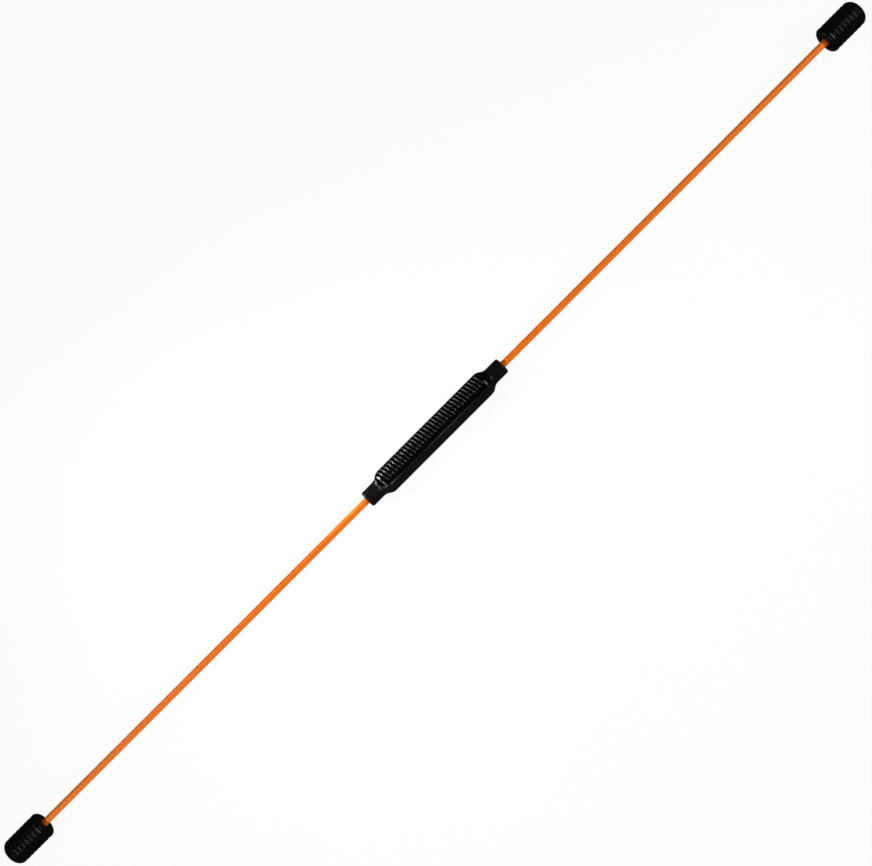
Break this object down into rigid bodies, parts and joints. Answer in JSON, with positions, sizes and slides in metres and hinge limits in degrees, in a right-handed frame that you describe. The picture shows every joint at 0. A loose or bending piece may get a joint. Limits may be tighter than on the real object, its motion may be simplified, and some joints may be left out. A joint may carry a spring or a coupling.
{
  "type": "flexible swing exercise bar",
  "caption": "Flexible oscillating exercise bar: a ribbed centre grip with screw-in fibreglass rods and ringed rubber end weights.",
  "frame": {"origin": "middle of the grip, on the rods' axis", "axes": "+X along the bar towards the right-hand weight, +Z out through the middle of the upper ribbed pad, the bar lying on its two weights"},
  "size_m": [1.6, 0.038, 0.038],
  "materials": {
    "grip_plastic": "satin",
    "pad_rubber": "satin",
    "tube_metal": "satin",
    "brass": "satin",
    "steel": "satin",
    "ferrule_metal": "satin",
    "seal_rubber": "satin",
    "fibreglass": "gloss",
    "weight_rubber": "satin",
    "slug_steel": "satin"
  },
  "bodies": {
    "handle": {"grip_body": "grip_plastic", "grip_pad_top": "pad_rubber", "grip_pad_bottom": "pad_rubber", "core_tube": "tube_metal", "threaded_socket_left": "brass", "threaded_socket_right": "brass", "socket_pin_left": "steel", "socket_pin_right": "steel"},
    "seal_left": {"o_ring_left": "seal_rubber"},
    "arm_left": {"rod_ferrule_left": "ferrule_metal", "threaded_stud_left": "steel", "rod_inner_left": "fibreglass"},
    "tip_left": {"rod_outer_left": "fibreglass", "weight_shell_left": "weight_rubber", "weight_core_left": "slug_steel", "weight_pin_left": "steel"},
    "seal_right": {"o_ring_right": "seal_rubber"},
    "arm_right": {"rod_ferrule_right": "ferrule_metal", "threaded_stud_right": "steel", "rod_inner_right": "fibreglass"},
    "tip_right": {"rod_outer_right": "fibreglass", "weight_shell_right": "weight_rubber", "weight_core_right": "slug_steel", "weight_pin_right": "steel"}
  },
  "joints": [
    {"name": "arm_left_slide", "type": "slide", "parent": "handle", "child": "seal_left", "axis": [-1, 0, 0], "range_m": [0, 0.0151]},
    {"name": "arm_left_unscrew", "type": "hinge", "parent": "seal_left", "child": "arm_left", "pos_m": [-0.097, 0, 0], "axis": [-1, 0, 0], "range_deg": [0, 3600]},
    {"name": "rod_left_flex", "type": "hinge", "parent": "arm_left", "child": "tip_left", "pos_m": [-0.222, 0, 0], "axis": [0, 1, 0], "range_deg": [-20, 20], "stiffness_Nm_per_rad": 42},
    {"name": "arm_right_slide", "type": "slide", "parent": "handle", "child": "seal_right", "axis": [1, 0, 0], "range_m": [0, 0.0151]},
    {"name": "arm_right_unscrew", "type": "hinge", "parent": "seal_right", "child": "arm_right", "pos_m": [0.097, 0, 0], "axis": [1, 0, 0], "range_deg": [0, 3600]},
    {"name": "rod_right_flex", "type": "hinge", "parent": "arm_right", "child": "tip_right", "pos_m": [0.222, 0, 0], "axis": [0, 1, 0], "range_deg": [-20, 20], "stiffness_Nm_per_rad": 42}
  ],
  "couplings": [
    {"joint": "arm_left_slide", "follows": "arm_left_unscrew", "m_per_rad": 0.00023873},
    {"joint": "arm_right_slide", "follows": "arm_right_unscrew", "m_per_rad": 0.00023873}
  ]
}
